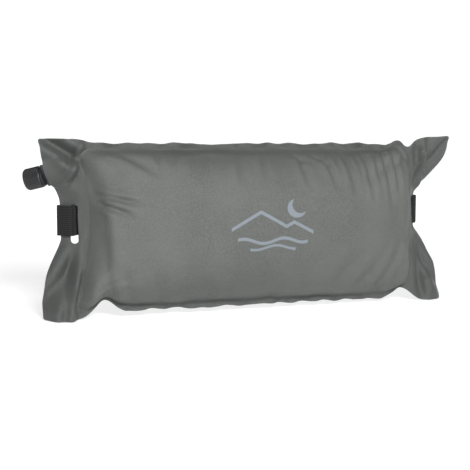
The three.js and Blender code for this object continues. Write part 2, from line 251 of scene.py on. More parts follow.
def inflateShell(bm):  # cloth with inner pressure and the flat sheets' own lengths
    mesh = bpy.data.meshes.new("shellCloth")
    bm.to_mesh(mesh)
    cloth = bpy.data.objects.new("shellCloth", mesh)
    world.objects.link(cloth)
    flat = bm.verts.layers.float_vector["flat"]
    region = bm.faces.layers.int["region"]
    cloth.shape_key_add(name="start")
    rest = cloth.shape_key_add(name="flat")
    held = cloth.vertex_groups.new(name="held")
    swollen = cloth.vertex_groups.new(name="swollen")
    for v in bm.verts:
        u, across = v[flat].x, v[flat].y
        rest.data[v.index].co = (u, 0, across + shell["height"] / 2)
        inBody = any(f[region] for f in v.link_faces)
        if inBody:
            swollen.add([v.index], 1, "REPLACE")
        distance = weldDistance(u, across)
        underStrap = abs(v.co.z - shell["strapHeight"]) < shell["strapWidth"] / 2
        if abs(u) > shell["flatLength"] / 2 - .017 and underStrap:
            held.add([v.index], 1, "REPLACE")
        elif not inBody or abs(distance) < 1e-5:
            weight = shell["holdWeld"]
            if distance > .012:
                tip = smoothShare(abs(v.co.z - shell["height"] / 2), .040, .085)
                outer = smoothShare(distance, .015, .040)
                weight = shell["holdEar"] + (shell["holdTip"] - shell["holdEar"]) * tip * outer
            held.add([v.index], weight, "REPLACE")
    modifier = cloth.modifiers.new("cloth", "CLOTH")
    settings = {
        "quality": 6, "mass": .1, "air_damping": 1.5,
        "tension_stiffness": shell["tension"], "compression_stiffness": shell["tension"],
        "shear_stiffness": shell["shear"], "bending_stiffness": shell["bending"],
        "tension_damping": 5, "compression_damping": 5, "shear_damping": 5,
        "bending_damping": .5, "vertex_group_mass": "held", "pin_stiffness": 1,
        "use_pressure": True, "uniform_pressure_force": shell["pressure"],
        "use_pressure_volume": True, "target_volume": shell["volume"],
        "pressure_factor": 1, "vertex_group_pressure": "swollen", "rest_shape_key": rest,
    }
    for key, value in settings.items():
        setattr(modifier.settings, key, value)
    modifier.settings.effector_weights.gravity = 0
    modifier.collision_settings.use_collision = False
    modifier.collision_settings.use_self_collision = False
    modifier.point_cache.frame_start = 1
    modifier.point_cache.frame_end = shell["frames"]
    scene = bpy.context.scene
    scene.frame_start = 1
    scene.frame_end = shell["frames"]
    for f in range(1, shell["frames"] + 1):
        scene.frame_set(f)
    graph = bpy.context.evaluated_depsgraph_get()
    shape = cloth.evaluated_get(graph).to_mesh()
    for v in bm.verts:
        v.co = shape.vertices[v.index].co
    bpy.data.objects.remove(cloth)
    scene.frame_set(1)


shellCells = cutShell()
inflateShell(shellCells)
print("shell filled:", len(shellCells.verts), "points")


strap = {
    "thick": .0014,
    "clear": .0004,
    "stripWidth": .0085,  # ear left outside the slot
    "loopOffset": .0033,
    "tail": (.036, .032, .027, .022),  # points of the sewn end, from the ear's edge
    "tailGap": .0003,
    "rows": 10,
    "sample": .006,
    "turnStep": 12,  # degrees round the ear's edge
    "press": .0016,  # how far it sinks into the filled back
}


def strapBackLine():  # the back of the filled body at the strap, as (x, y)
    region = shellCells.faces.layers.int["region"]
    found = {}
    for v in shellCells.verts:
        if abs(v.co.z - shell["strapHeight"]) > shell["strapWidth"] / 2:
            continue
        if not any(f[region] == 2 for f in v.link_faces):
            continue
        place = round(v.co.x / strap["sample"])
        found[place] = max(found.get(place, 0), v.co.y)
    return [Vector((place * strap["sample"], found[place])) for place in sorted(found)]


def tautLine(points):  # a string pulled tight over the points
    line = []
    for p in points:
        while len(line) > 1:
            a, b = line[-2], line[-1]
            if (b.x - a.x) * (p.y - a.y) - (b.y - a.y) * (p.x - a.x) < 0:
                break
            line.pop()
        line.append(p)
    return line


def strapLoop(side):  # from the sewn tail, through the slot, round the edge, in plan
    height = shell["strapHeight"]
    edge, root = earEdge(side, height), earRoot(side, height)

    def onEar(x):
        return Vector((x, earBack(side, (x - root) / (edge - root), height)))

    outer, inner = onEar(edge), onEar(edge - strap["stripWidth"])
    outward = (outer - inner).normalized()
    front = Vector((outward.y, -outward.x))

    def around(centre, degrees):
        angle = math.radians(degrees)
        return centre + strap["loopOffset"] * (front * math.cos(angle) + outward * math.sin(angle))

    loop = [around(inner, d) for d in range(-120, 1, strap["turnStep"])]
    return loop + [around(outer, d) for d in range(0, 181, strap["turnStep"])]


def strapPath():
    loops = {side: strapLoop(side) for side in (-1, 1)}

    def mirrored(p):
        return Vector((-p.x, p.y))

    lift = strap["clear"] + strap["thick"] / 2 + shell["wall"] + shell["gap"] / 2 - strap["press"]
    back = [p + Vector((0, lift)) for p in strapBackLine() if abs(p.x) < .176]
    band = tautLine([mirrored(loops[-1][-1])] + back + [loops[1][-1]])
    tails = {}
    tailFrom, tailTo = strap["tail"][-1], strap["tail"][0]
    for side in (-1, 1):
        start = loops[side][-1]
        beside = band[-2] if side > 0 else mirrored(band[1])
        along = (beside - start).normalized()
        inward = Vector((along.y, -along.x))
        if inward.y > 0:
            inward.negate()
        shift = inward * (strap["thick"] + strap["tailGap"])
        tails[side] = [start + along * d + shift for d in strap["tail"]]
        tails[side, "sewn"] = (start + along * (tailFrom + tailTo) / 2, along, -inward)
    left = [mirrored(p) for p in tails[-1] + loops[-1][:-1]]
    right = list(reversed(tails[1] + loops[1][:-1]))
    return left + evenLine(band, strap["sample"]) + right, tails


def evenLine(points, step):
    line = [points[0]]
    for a, b in zip(points, points[1:]):
        count = max(1, round((b - a).length / step))
        line += [a.lerp(b, i / count) for i in range(1, count + 1)]
    for i in range(6):  # eased, ends kept
        eased = [(line[k - 1] + line[k] * 2 + line[k + 1]) / 4 for k in range(1, len(line) - 1)]
        line = [line[0]] + eased + [line[-1]]
    return line


def bandHeight(line, x):  # the strap's y on the back at x
    for a, b in zip(line, line[1:]):
        if a.x <= x <= b.x and a.y > .02:
            return a.y + (b.y - a.y) * (x - a.x) / max(1e-9, b.x - a.x)
    return 1


def makeStrap(line):
    bm = bmesh.new()
    bmesh.ops.create_grid(bm, x_segments=len(line) - 1, y_segments=strap["rows"], size=.5)
    lengths = [0]
    for a, b in zip(line, line[1:]):
        lengths.append(lengths[-1] + (b - a).length)
    cut = bm.loops.layers.uv.new("cut")
    width = shell["strapWidth"]
    for f in bm.faces:
        for corner in f.loops:
            column = round((corner.vert.co.x + .5) * (len(line) - 1))
            corner[cut].uv = (lengths[column], corner.vert.co.y * width)
    for v in bm.verts:
        p = line[round((v.co.x + .5) * (len(line) - 1))]
        v.co = (p.x, p.y, shell["strapHeight"] + v.co.y * width)
    piece = makePiece("elasticStrap", bm, "pillow", ["elastic_strap"])
    addModifier(piece, "SOLIDIFY", thickness=strap["thick"], offset=0)
    addModifier(
        piece, "BEVEL", width=.0004, segments=2, limit_method="ANGLE", angle_limit=math.radians(60)
    )
    bakeModifiers(piece)
    piece.data.shade_smooth()
    print("strap length %.3f m" % lengths[-1])
    return piece


strapLine, strapTails = strapPath()
elasticStrap = makeStrap(strapLine)

tack = {"width": .0034, "pitch": .0011, "thread": .00035, "margin": .002}


def makeTack(side, name, node):  # dense zigzag of thread over the sewn tail
    middle, along, outward = strapTails[side, "sewn"]
    middle = middle + outward * (strap["thick"] / 2 + tack["thread"] * .6)
    low = shell["strapHeight"] - shell["strapWidth"] / 2 + tack["margin"]
    count = int((shell["strapWidth"] - 2 * tack["margin"]) / tack["pitch"])
    curve = bpy.data.curves.new(name, "CURVE")
    curve.dimensions = "3D"
    curve.bevel_depth = tack["thread"]
    curve.bevel_resolution = 2
    curve.use_fill_caps = True
    spline = curve.splines.new("POLY")
    points = []
    for i in range(count + 1):
        sway = tack["width"] / 2 * (1 if i % 2 else -1)
        for share, rise in ((1, -.0003), (.6, 0), (-.6, 0), (-1, -.0003)):
            p = middle + along * sway * share + outward * rise
            points.append((side * p.x, p.y, low + (i + (1 - share) * .25) * tack["pitch"]))
    spline.points.add(len(points) - 1)
    for point, place in zip(spline.points, points):
        point.co = (*place, 1)
    drawn = bpy.data.objects.new(name + "Line", curve)
    world.objects.link(drawn)
    graph = bpy.context.evaluated_depsgraph_get()
    mesh = bpy.data.meshes.new_from_object(drawn.evaluated_get(graph), depsgraph=graph)
    bpy.data.objects.remove(drawn)
    bm = bmesh.new()
    bm.from_mesh(mesh)
    bmesh.ops.remove_doubles(bm, verts=bm.verts, dist=1e-6)
    bmesh.ops.recalc_face_normals(bm, faces=bm.faces)
    return makePiece(name, bm, "pillow", [node])


leftTack = makeTack(-1, "leftBarTack", "left_bar_tack")
rightTack = makeTack(1, "rightBarTack", "right_bar_tack")
print("strap and bar tacks made")


valve = {
    "belowTop": .038,
    "droop": 15,
    "earWidth": .044,  # the ear that the valve is set square to
    "rootPull": .019,
    "rootReach": .045,
    "edgePull": .028,
    "edgeReach": .037,
    "boatLength": .024,
    "boatHalfWidth": .013,
    "boatHalfThick": .0044,
    "boatTaper": (.62, .3, 1),
    "bore": .0046,
    "neck": .0072,
    "collarStart": .0024,
    "collarEnd": .0038,
    "collarRadius": .0102,
    "capStart": .0043,
    "capEnd": .02275,
    "capWallStart": .02035,
    "capBore": .0087,
    "capRadius": .011,
    "capHole": .0048,
    "neckEnd": .0190,
    "threadStart": .0049,
    "pitch": .003,
    "ribs": 40,
    "ribDepth": .0004,
    "ribMargin": .0017,
    "headRadius": .0042,
    "headEnd": .02245,
    "headStart": .02005,
}


def valveFrame():
    z = shell["height"] - valve["belowTop"]
    half = shell["length"] / 2
    tip = nearStrap(shell["height"], valve["edgeReach"])

    def root(z):
        return half - valve["earWidth"] - valve["rootPull"] * nearStrap(z, valve["rootReach"])

    def edge(z):
        return half - valve["edgePull"] * (nearStrap(z, valve["edgeReach"]) - tip) / (1 - tip)

    def onEar(share, z):
        return Vector((-(root(z) + share * (edge(z) - root(z))), earBack(-1, share, z), z))

    origin = onEar(1, z)
    outward = (origin - onEar(.4, z)).normalized()
    across = outward.cross(onEar(1, z + .001) - onEar(1, z - .001)).normalized()
    axis = Matrix.Rotation(-math.radians(valve["droop"]), 3, across) @ outward
    along = across.cross(axis)
    turned = Matrix((along, across, axis)).transposed().to_4x4()
    return Matrix.Translation(origin) @ turned


valvePlace = valveFrame()
turnJoint = next(j for j in frame["joints"] if j["name"] == "valve_turn")
offAxis = valvePlace.to_3x3().col[2].angle(Vector(turnJoint["axis"]))
print("valve stands %.4f degrees off its joint's axis" % math.degrees(offAxis))


def makeStem():
    bm = bmesh.new()
    bmesh.ops.create_circle(bm, cap_ends=True, segments=48, radius=1)
    for v in bm.verts:
        rise = valve["boatHalfThick"] * (1 - min(1, v.co.x ** 2))
        v.co.y = math.copysign(rise, v.co.y) if rise > 1e-9 else 0
        v.co.x *= valve["boatHalfWidth"]
        v.co.z = valve["collarStart"]
    raised = bmesh.ops.extrude_face_region(bm, geom=list(bm.faces))["geom"]
    top = [g for g in raised if isinstance(g, bmesh.types.BMVert)]
    bmesh.ops.translate(bm, verts=top, vec=(0, 0, -valve["boatLength"] - valve["collarStart"]))
    bmesh.ops.scale(bm, vec=valve["boatTaper"], verts=top)  # thins away between the panels
    bmesh.ops.recalc_face_normals(bm, faces=bm.faces)
    rims = [e for e in bm.edges if e.is_manifold and e.calc_face_angle(0) > math.radians(60)]
    bmesh.ops.bevel(bm, geom=rims, offset=.0004, affect="EDGES", segments=2, profile=.5, material=-1)
    tube = bmesh.new()
    turnProfile(tube, [
        (valve["bore"], valve["collarStart"]),
        (valve["collarRadius"] - .0003, valve["collarStart"]),
        (valve["collarRadius"], valve["collarStart"] + .0003),
        (valve["collarRadius"], valve["collarEnd"] - .0003),
        (valve["collarRadius"] - .0003, valve["collarEnd"]),
        (valve["neck"] + .0003, valve["collarEnd"]),
        (valve["neck"], valve["collarEnd"] + .0003),
        (valve["neck"], valve["neckEnd"] - .0004),
        (valve["neck"] - .0004, valve["neckEnd"]),
        (valve["bore"] + .0002, valve["neckEnd"]),
        (valve["bore"], valve["neckEnd"] - .0002),
    ], 96)
    joinInto(bm, tube)
    post = bmesh.new()
    head, ring = valve["headRadius"], (valve["headStart"] + valve["headEnd"]) / 2
    turnProfile(post, [
        (.0001, valve["threadStart"]), (.0016, valve["threadStart"]),
        (.0016, valve["headStart"]), (head - .0002, valve["headStart"]),
        (head, valve["headStart"] + .0002), (head, ring - .000625),
        (.0033, ring - .000625), (.0033, ring + .000625), (head, ring + .000625),
        (head, valve["headEnd"] - .0003), (head - .0003, valve["headEnd"]),
        (.0001, valve["headEnd"] - .0004),
    ], 64)
    joinInto(bm, post)
    for spoke in range(3):
        rib = bmesh.new()
        bmesh.ops.create_cube(rib, size=1)
        bmesh.ops.scale(rib, vec=(.0059, .0012, .006), verts=rib.verts)
        bmesh.ops.translate(rib, vec=(.00295, 0, valve["threadStart"] + .004), verts=rib.verts)
        bmesh.ops.bevel(rib, geom=rib.edges, offset=.0002, affect="EDGES", segments=1, profile=.5,
                        material=-1)
        turn = Matrix.Rotation(spoke * 2 * math.pi / 3, 4, "Z")
        bmesh.ops.transform(rib, matrix=turn, verts=rib.verts)
        joinInto(bm, rib)
    joinInto(bm, threadRidge(valve["neck"] - .0003, valve["capBore"] - .0004, valve["threadStart"], 2))
    bmesh.ops.transform(bm, matrix=valvePlace, verts=bm.verts)
    return makePiece("valveStem", bm, "pillow", ["valve_stem"])


def joinInto(bm, part):  # adds part to bm and frees it
    mesh = bpy.data.meshes.new("part")
    part.to_mesh(mesh)
    part.free()
    bm.from_mesh(mesh)
    bpy.data.meshes.remove(mesh)


def threadRidge(inner, outer, start, turns):
    bm = bmesh.new()
    corners = [(inner, -.00045), (outer, -.00027), (outer, .00027), (inner, .00045)]
    ring = [bm.verts.new((r, 0, start + z)) for r, z in corners]
    face = bm.faces.new(ring)
    bmesh.ops.spin(
        bm, geom=[face] + list(face.edges) + ring, cent=(0, 0, 0), axis=(0, 0, 1),
        dvec=(0, 0, valve["pitch"] / 48), angle=2 * math.pi * turns, steps=round(48 * turns),
        use_merge=False, use_duplicate=False,
    )
    ends = [e for e in bm.edges if e.is_boundary]
    bmesh.ops.holes_fill(bm, edges=ends, sides=4)
    bmesh.ops.recalc_face_normals(bm, faces=bm.faces)
    return bm


def makeCap():
    bm = bmesh.new()
    start, end, radius = valve["capStart"], valve["capEnd"], valve["capRadius"]
    margin, bore, hole = valve["ribMargin"], valve["capBore"], valve["capHole"]
    wall, ring = valve["capWallStart"], .0143
    outline = [
        (bore, start), (radius - .0004, start), (radius - .0001, start + .0003),
        (radius, start + .0007), (radius, start + margin - .0002), (radius, start + margin),
        (radius, end - margin - .0002), (radius, end - margin), (radius - .0001, end - .0012),
        (radius - .0004, end - .0006), (radius - .0009, end - .00015), (radius - .0015, end),
        (hole + .0004, end), (hole + .0001, end - .0001), (hole, end - .0004),
        (hole, wall), (bore, wall), (bore, ring + .000825), (.0091, ring + .000825),
        (.0091, ring - .000825), (bore, ring - .000825),
    ]
    steps = valve["ribs"] * 4
    turnProfile(bm, outline, steps)
    for v in bm.verts:  # grip ribs
        reach = math.hypot(v.co.x, v.co.y)
        if abs(reach - radius) < 1e-5 and start + margin - 1e-5 < v.co.z < end - margin - .00019:
            place = round(math.atan2(v.co.y, v.co.x) / (2 * math.pi) * steps) % 4
            grown = (radius + (valve["ribDepth"] if place in (1, 2) else -.0001)) / reach
            v.co.x *= grown
            v.co.y *= grown
    joinInto(bm, threadRidge(valve["neck"] + .0004, bore + .0003, .0064, .5))
    bmesh.ops.transform(bm, matrix=valvePlace, verts=bm.verts)
    return makePiece("twistCap", bm, "twist_cap", ["valve_cap"])


valveStem = makeStem()
twistCap = makeCap()
for piece in (valveStem, twistCap):
    piece.data.shade_smooth()
    piece.data.set_sharp_from_angle(angle=math.radians(35))
print("valve made")


folds = [  # start and end on the front (x, z), half width, depth
    ((-.030, .184), (-.036, .150), .0040, .0012),
    ((-.002, .184), (-.009, .154), .0036, .0014),
    ((.018, .184), (.030, .164), .0032, .0009),
    ((.035, .184), (.040, .144), .0038, .0017),
    ((.050, .184), (.061, .158), .0030, .0014),
    ((.062, .182), (.072, .142), .0034, .0026),
    ((.078, .184), (.080, .158), .0030, .0012),
    ((.089, .182), (.095, .134), .0038, .0021),
    ((.104, .182), (.106, .152), .0030, .0014),
    ((.112, .182), (.118, .128), .0036, .0022),
    ((.128, .180), (.129, .146), .0032, .0015),
    ((.138, .180), (.143, .120), .0038, .0022),
    ((.155, .178), (.154, .136), .0032, .0018),
    ((.166, .174), (.163, .146), .0030, .0012),
    ((.056, .168), (.070, .160), .0022, .0014),
    ((.030, .170), (.046, .163), .0024, .0012),
    ((-.070, .186), (-.074, .160), .0045, .0008),
    ((-.100, .184), (-.108, .164), .0035, .0010),
    ((-.125, .180), (-.122, .158), .0030, .0016),
    ((-.172, .184), (-.128, .156), .0050, .0026),
    ((-.190, .127), (-.158, .112), .0034, .0040),
    ((-.188, .132), (-.148, .124), .0030, .0030),
    ((-.189, .120), (-.177, .030), .0070, .0034),
    ((.179, .160), (.179, .034), .0045, .0040),
    ((.170, .190), (.180, .152), .0040, .0060),
    ((.168, .006), (.180, .034), .0040, .0050),
    ((.060, .010), (.098, .060), .0070, .0012),
    ((.095, .010), (.138, .070), .0065, .0015),
    ((.125, .012), (.166, .084), .0060, .0016),
    ((.148, .016), (.178, .080), .0050, .0014),
    ((-.060, .010), (-.080, .044), .0070, .0011),
    ((-.120, .012), (-.130, .050), .0060, .0014),
    ((-.150, .014), (-.166, .056), .0050, .0016),
]

dents = [  # on the front: x, z, width, depth
    (-.184, .140, .017, .0075),
    (-.180, .030, .012, .0030),
    (.174, .170, .010, .0085),
    (.175, .020, .010, .0065),
]

shoulder = {"rise": {-1: .0046, 1: .0060}, "inset": .016, "width": .011}  # squarer filled ends

earFolds = [  # on the margins and ears, moved back
    ((-.232, .188), (-.184, .158), .0055, .0090),
    ((-.200, .178), (-.211, .146), .0032, -.0050),
    ((-.236, .018), (-.194, .076), .0075, .0075),
    ((-.212, .004), (-.198, .080), .0045, -.0062),
    ((.236, .184), (.196, .140), .0060, .0060),
    ((.202, .178), (.206, .130), .0040, -.0055),
    ((.232, .014), (.196, .064), .0070, .0065),
    ((.208, .012), (.200, .060), .0040, -.0050),
]


def foldDepth(x, z, lines=folds):  # a groove between two low banks, fading towards its end
    total = 0
    for (x0, z0), (x1, z1), half, depth in lines:
        dx, dz = x1 - x0, z1 - z0
        length = math.hypot(dx, dz)
        share = ((x - x0) * dx + (z - z0) * dz) / length ** 2
        if not -.3 < share < 1.3:
            continue
        away = ((x - x0) * dz - (z - z0) * dx) / length / half
        if abs(away) > 4:
            continue
        fade = max(0, 1 - (max(0, share - .4) / .8) ** 2) * min(1, (share + .3) / .3)
        total += depth * fade * (math.exp(-away ** 2) - .55 * math.exp(-(abs(away) - 1.9) ** 2))
    return total


toValve = valvePlace.inverted()


def boatRise(p):  # how far a panel stands off the middle of the ear over the valve's boat
    local = toValve @ p
    if not -.034 < local.z < .004 or abs(local.x) > .02:
        return 0
    side = max(0, 1 - (local.x / .0165) ** 2)
    end = smoothShare(local.z, -.034, -.022)
    return (valve["boatHalfThick"] + .0007) * side * end


def squareRise(p, flat, side):  # what the shoulders add to the depth and the dents take away
    distance = weldDistance(flat.x, flat.y)
    fromEnd = shell["flatLength"] / 2 - shell["endWeld"] - abs(flat.x)
    rise = shoulder["rise"][-1 if flat.x < 0 else 1]
    rise *= hump(fromEnd, shoulder["inset"], shoulder["width"])
    rise *= smoothShare(-distance, 0, .012) * (1 - (abs(p.z - .095) / .095) ** 4)
    for dentX, dentZ, width, depth in dents if side < 0 else []:
        rise -= depth * math.exp(-((p.x - dentX) ** 2 + (p.z - dentZ) ** 2) / width ** 2)
    return rise * smoothShare(-distance, -.001, .006)


def makePanel(name, side, node):
    bm = shellCells.copy()
    flat = bm.verts.layers.float_vector["flat"]
    region = bm.faces.layers.int["region"]
    other = [f for f in bm.faces if f[region] == (2 if side < 0 else 1)]
    bmesh.ops.delete(bm, geom=other, context="FACES")
    margins = [f for f in bm.faces if f[region] == 0]
    if side > 0:
        bmesh.ops.reverse_faces(bm, faces=margins)
    bm.normal_update()
    if sum(f.normal.y for f in bm.faces) * side < 0:
        bmesh.ops.reverse_faces(bm, faces=bm.faces)
    weld = bm.verts.layers.float.new("weld")
    cut = bm.loops.layers.uv.new("cut")
    for v in bm.verts:
        v[weld] = weldDistance(v[flat].x, v[flat].y) * 1000
    for f in bm.faces:
        for corner in f.loops:
            corner[cut].uv = corner.vert[flat].xy
    piece = makePiece(name, bm, "pillow", [node])
    addModifier(piece, "SUBSURF", levels=1, render_levels=1)
    bakeModifiers(piece)
    shapePanel(piece, side)
    addModifier(
        piece, "SOLIDIFY", thickness=shell["wall"], offset=1, edge_crease_rim=1,
        edge_crease_inner=1, edge_crease_outer=1,
    )
    for end in (-1, 1):
        addModifier(piece, "BOOLEAN", object=slotCutter(end), operation="DIFFERENCE", solver="EXACT")
    bakeModifiers(piece)
    piece.data.shade_smooth()
    piece.data.set_sharp_from_angle(angle=math.radians(60))
    return piece


wave = {"body": .0005, "margin": .0044, "marginRise": .0022, "ear": .0024}


def shapePanel(piece, side):  # fine folds, wavy margins, the valve's pocket and the strap's dent
    mesh = piece.data
    weld = mesh.attributes["weld"].data
    flat = mesh.attributes["flat"].data
    normals = [n.vector.copy() for n in mesh.vertex_normals]
    for v in mesh.vertices:
        distance = weld[v.index].value / 1000
        p = v.co.copy()
        move = normals[v.index] * (shell["gap"] / 2)
        inBody = smoothShare(-distance, .001, .014)
        x = p.x if side < 0 else -p.x
        move -= normals[v.index] * foldDepth(x, p.z) * inBody
        move.y += side * squareRise(p, flat[v.index].vector, side)
        fine = noise.noise(Vector((p.x * 42, p.z * 34, side * 4.3))) * wave["body"]
        move += normals[v.index] * fine * inBody
        if distance > 0:
            share = min(1, distance / shell["longWeld"])
            row = 3.7 if p.z > .095 else 0
            long = 1 - smoothShare(abs(p.x), .175, .200)
            short = noise.noise(Vector((p.x * 95, row, .5)))
            broad = noise.noise(Vector((p.x * 40, row, 8.5)))
            move.y += wave["margin"] * share * (short + .7 * broad) * long
            rise = noise.noise(Vector((p.x * 60, row, 4.5)))
            move.z += wave["marginRise"] * share * rise * long
            ear = noise.noise(Vector((p.x * 36, p.z * 24, 8.5)))
            move.y += wave["ear"] * share * ear * (1 - long)
            move.y += foldDepth(p.x, p.z, earFolds) * share
        if p.x < -.18 and distance > -.004:
            local = toValve @ p
            rise = boatRise(p)
            if rise > 0:
                across = Vector(valvePlace.col[1][:3])
                facing = 1 if across.y * side > 0 else -1
                target = max(0, rise - local.y * facing)
                eased = smoothShare(rise, 0, .6 * valve["boatHalfThick"])
                eased *= smoothShare(distance, -.004, .002)
                move += across * facing * target * eased
        if side > 0:
            beside = abs(p.z - shell["strapHeight"]) - shell["strapWidth"] / 2
            under = 1 - smoothShare(beside, .001, .016)
            limit = bandHeight(strapLine, p.x) - strap["thick"] / 2 - strap["clear"] - shell["wall"]
            if under > 0 and p.y + move.y > limit and distance < 0:
                move.y -= (p.y + move.y - limit) * under
        v.co = p + move


slot = {"width": .007, "above": .001, "below": .008, "cutDepth": .015}


def slotCutter(end):  # a rounded slot through one ear
    bm = bmesh.new()
    half = slot["width"] / 2
    height = (shell["strapWidth"] + slot["above"] + slot["below"]) / 2 - half
    bmesh.ops.create_circle(bm, cap_ends=True, segments=24, radius=half)
    for v in bm.verts:
        v.co.y += height if v.co.y > 1e-6 else -height
    bmesh.ops.translate(bm, verts=bm.verts, vec=(0, 0, -slot["cutDepth"]))
    raised = bmesh.ops.extrude_face_region(bm, geom=list(bm.faces))["geom"]
    top = [g for g in raised if isinstance(g, bmesh.types.BMVert)]
    bmesh.ops.translate(bm, verts=top, vec=(0, 0, 2 * slot["cutDepth"]))
    bmesh.ops.recalc_face_normals(bm, faces=bm.faces)
    upright = Matrix.Rotation(math.pi / 2, 3, "X")
    bmesh.ops.rotate(bm, verts=bm.verts, cent=(0, 0, 0), matrix=upright)
    level = shell["strapHeight"]
    edge, root = earEdge(end, level), earRoot(end, level)
    slotX = edge - strap["stripWidth"] - half
    slotY = earBack(end, (slotX - root) / (edge - root), level)
    middle = level - (slot["below"] - slot["above"]) / 2
    bmesh.ops.translate(bm, verts=bm.verts, vec=(end * slotX, slotY, middle))
    mesh = bpy.data.meshes.new("slotCutter")
    bm.to_mesh(mesh)
    bm.free()
    cutter = bpy.data.objects.new("slotCutter", mesh)
    world.objects.link(cutter)
    cutters.append(cutter)
    return cutter


foam = {"share": (.960, .985, .930), "inset": .004}  # of the shell's own shape


def makeFoam():
    bm = shellCells.copy()
    flat = bm.verts.layers.float_vector["flat"]
    region = bm.faces.layers.int["region"]
    margins = [f for f in bm.faces if f[region] == 0]
    bmesh.ops.delete(bm, geom=margins, context="FACES")
    bm.normal_update()
    if bm.calc_volume(signed=True) < 0:
        bmesh.ops.reverse_faces(bm, faces=bm.faces)
        bm.normal_update()
    center = (0, 0, shell["height"] / 2)
    smaller = Matrix.Translation(center) @ Matrix.Diagonal((*foam["share"], 1))
    smaller = smaller @ Matrix.Translation([-c for c in center])
    bmesh.ops.transform(bm, matrix=smaller, verts=bm.verts)
    bm.normal_update()
    for v in bm.verts:
        inside = -weldDistance(v[flat].x, v[flat].y)
        front = any(f[region] == 1 for f in v.link_faces)
        fold = max(0, foldDepth(v.co.x if front else -v.co.x, v.co.z))
        side = -1 if front else 1
        shift = side * min(0, squareRise(v.co, v[flat], side))
        v.co -= v.normal * (foam["inset"] + fold) * smoothShare(inside, 0, .012)
        v.co.y += shift
    return makePiece("foamCore", bm, "pillow", ["foam_core"])


cutters = []
frontPanel = makePanel("frontPanel", -1, "front_panel")
backPanel = makePanel("backPanel", 1, "back_panel")
foamCore = makeFoam()
for cutter in cutters:
    bpy.data.objects.remove(cutter)
shellCells.free()
print("panels and foam made")


class Wire:  # a node's output that can be worked with in plain expressions
    def __init__(self, finish, socket):
        self.finish = finish
        self.socket = socket

    def work(self, operation, *values):
        return self.finish.add("ShaderNodeMath", {"operation": operation}, dict(enumerate(values)))

    def __add__(self, other):
        return self.work("ADD", self, other)

    def __sub__(self, other):
        return self.work("SUBTRACT", self, other)

    def __rsub__(self, other):
        return self.work("SUBTRACT", other, self)

    def __mul__(self, other):
        return self.work("MULTIPLY", self, other)

    def __pow__(self, other):
        return self.work("POWER", self, other)

    __radd__ = __add__
    __rmul__ = __mul__

    def size(self):
        return self.work("ABSOLUTE", self)

    def wave(self):
        return self.work("SINE", self)

    def least(self, other):
        return self.work("MINIMUM", self, other)

    def most(self, other):
        return self.work("MAXIMUM", self, other)

    def step(self, low, high):  # 0 at low, 1 at high, eased between
        settings = {"interpolation_type": "SMOOTHSTEP"}
        values = {"Value": self, "From Min": low, "From Max": high}
        return self.finish.add("ShaderNodeMapRange", settings, values)


class Finish:  # a material, or the sky where one is given
    def __init__(self, name, sky=None, **fixed):
        self.material = sky or bpy.data.materials.new(name)
        self.material.use_nodes = True
        self.tree = self.material.node_tree
        self.tree.nodes.clear()
        kind, end = ("Background", "World") if sky else ("BsdfPrincipled", "Material")
        shader = self.add("ShaderNode" + kind, None, fixed)
        self.shader = shader.socket.node
        self.add("ShaderNodeOutput" + end, None, {"Surface": shader}, None)

    def add(self, kind, settings=None, values=None, output=0):
        node = self.tree.nodes.new(kind)
        for key, value in (settings or {}).items():
            setattr(node, key, value)
        for key, value in (values or {}).items():
            if isinstance(value, Wire):
                self.tree.links.new(value.socket, node.inputs[key])
            else:
                node.inputs[key].default_value = value
        return None if output is None else Wire(self, node.outputs[output])

    def mix(self, share, a, b):
        settings = {"data_type": "RGBA"}
        return self.add("ShaderNodeMix", settings, {0: share, 6: a, 7: b}, 2)

    def parts(self, vector):
        return [self.add("ShaderNodeSeparateXYZ", None, {0: vector}, i) for i in range(3)]

    def noise(self, vector, scale, detail=2, roughness=.5):
        values = {"Vector": vector, "Scale": scale, "Detail": detail, "Roughness": roughness}
        return self.add("ShaderNodeTexNoise", None, values)

    def feed(self, **wires):
        for key, wire in wires.items():
            self.tree.links.new(wire.socket, self.shader.inputs[key.replace("_", " ")])

    def bump(self, height, distance, strength=1):
        values = {"Height": height, "Distance": distance, "Strength": strength}
        self.feed(Normal=self.add("ShaderNodeBump", None, values))


def linear(value):  # a display value, 0 to 255, as light
    return ((value / 255 + .055) / 1.055) ** 2.4 if value > 10 else value / 255 / 12.92


def tone(r, g, b):
    return linear(r), linear(g), linear(b), 1


fabric = {
    "light": tone(79, 81, 79),
    "dark": tone(70, 72, 70),
    "edge": tone(96, 98, 96),
    "margin": tone(60, 62, 61),
    "ink": tone(110, 117, 124),
    "thread": .00042,  # weave pitch
    "press": .0016,  # pitch of the welding tool's diamonds
    "roughness": .5,
}
motif = {"x": -.004, "y": .003, "stroke": .0021}


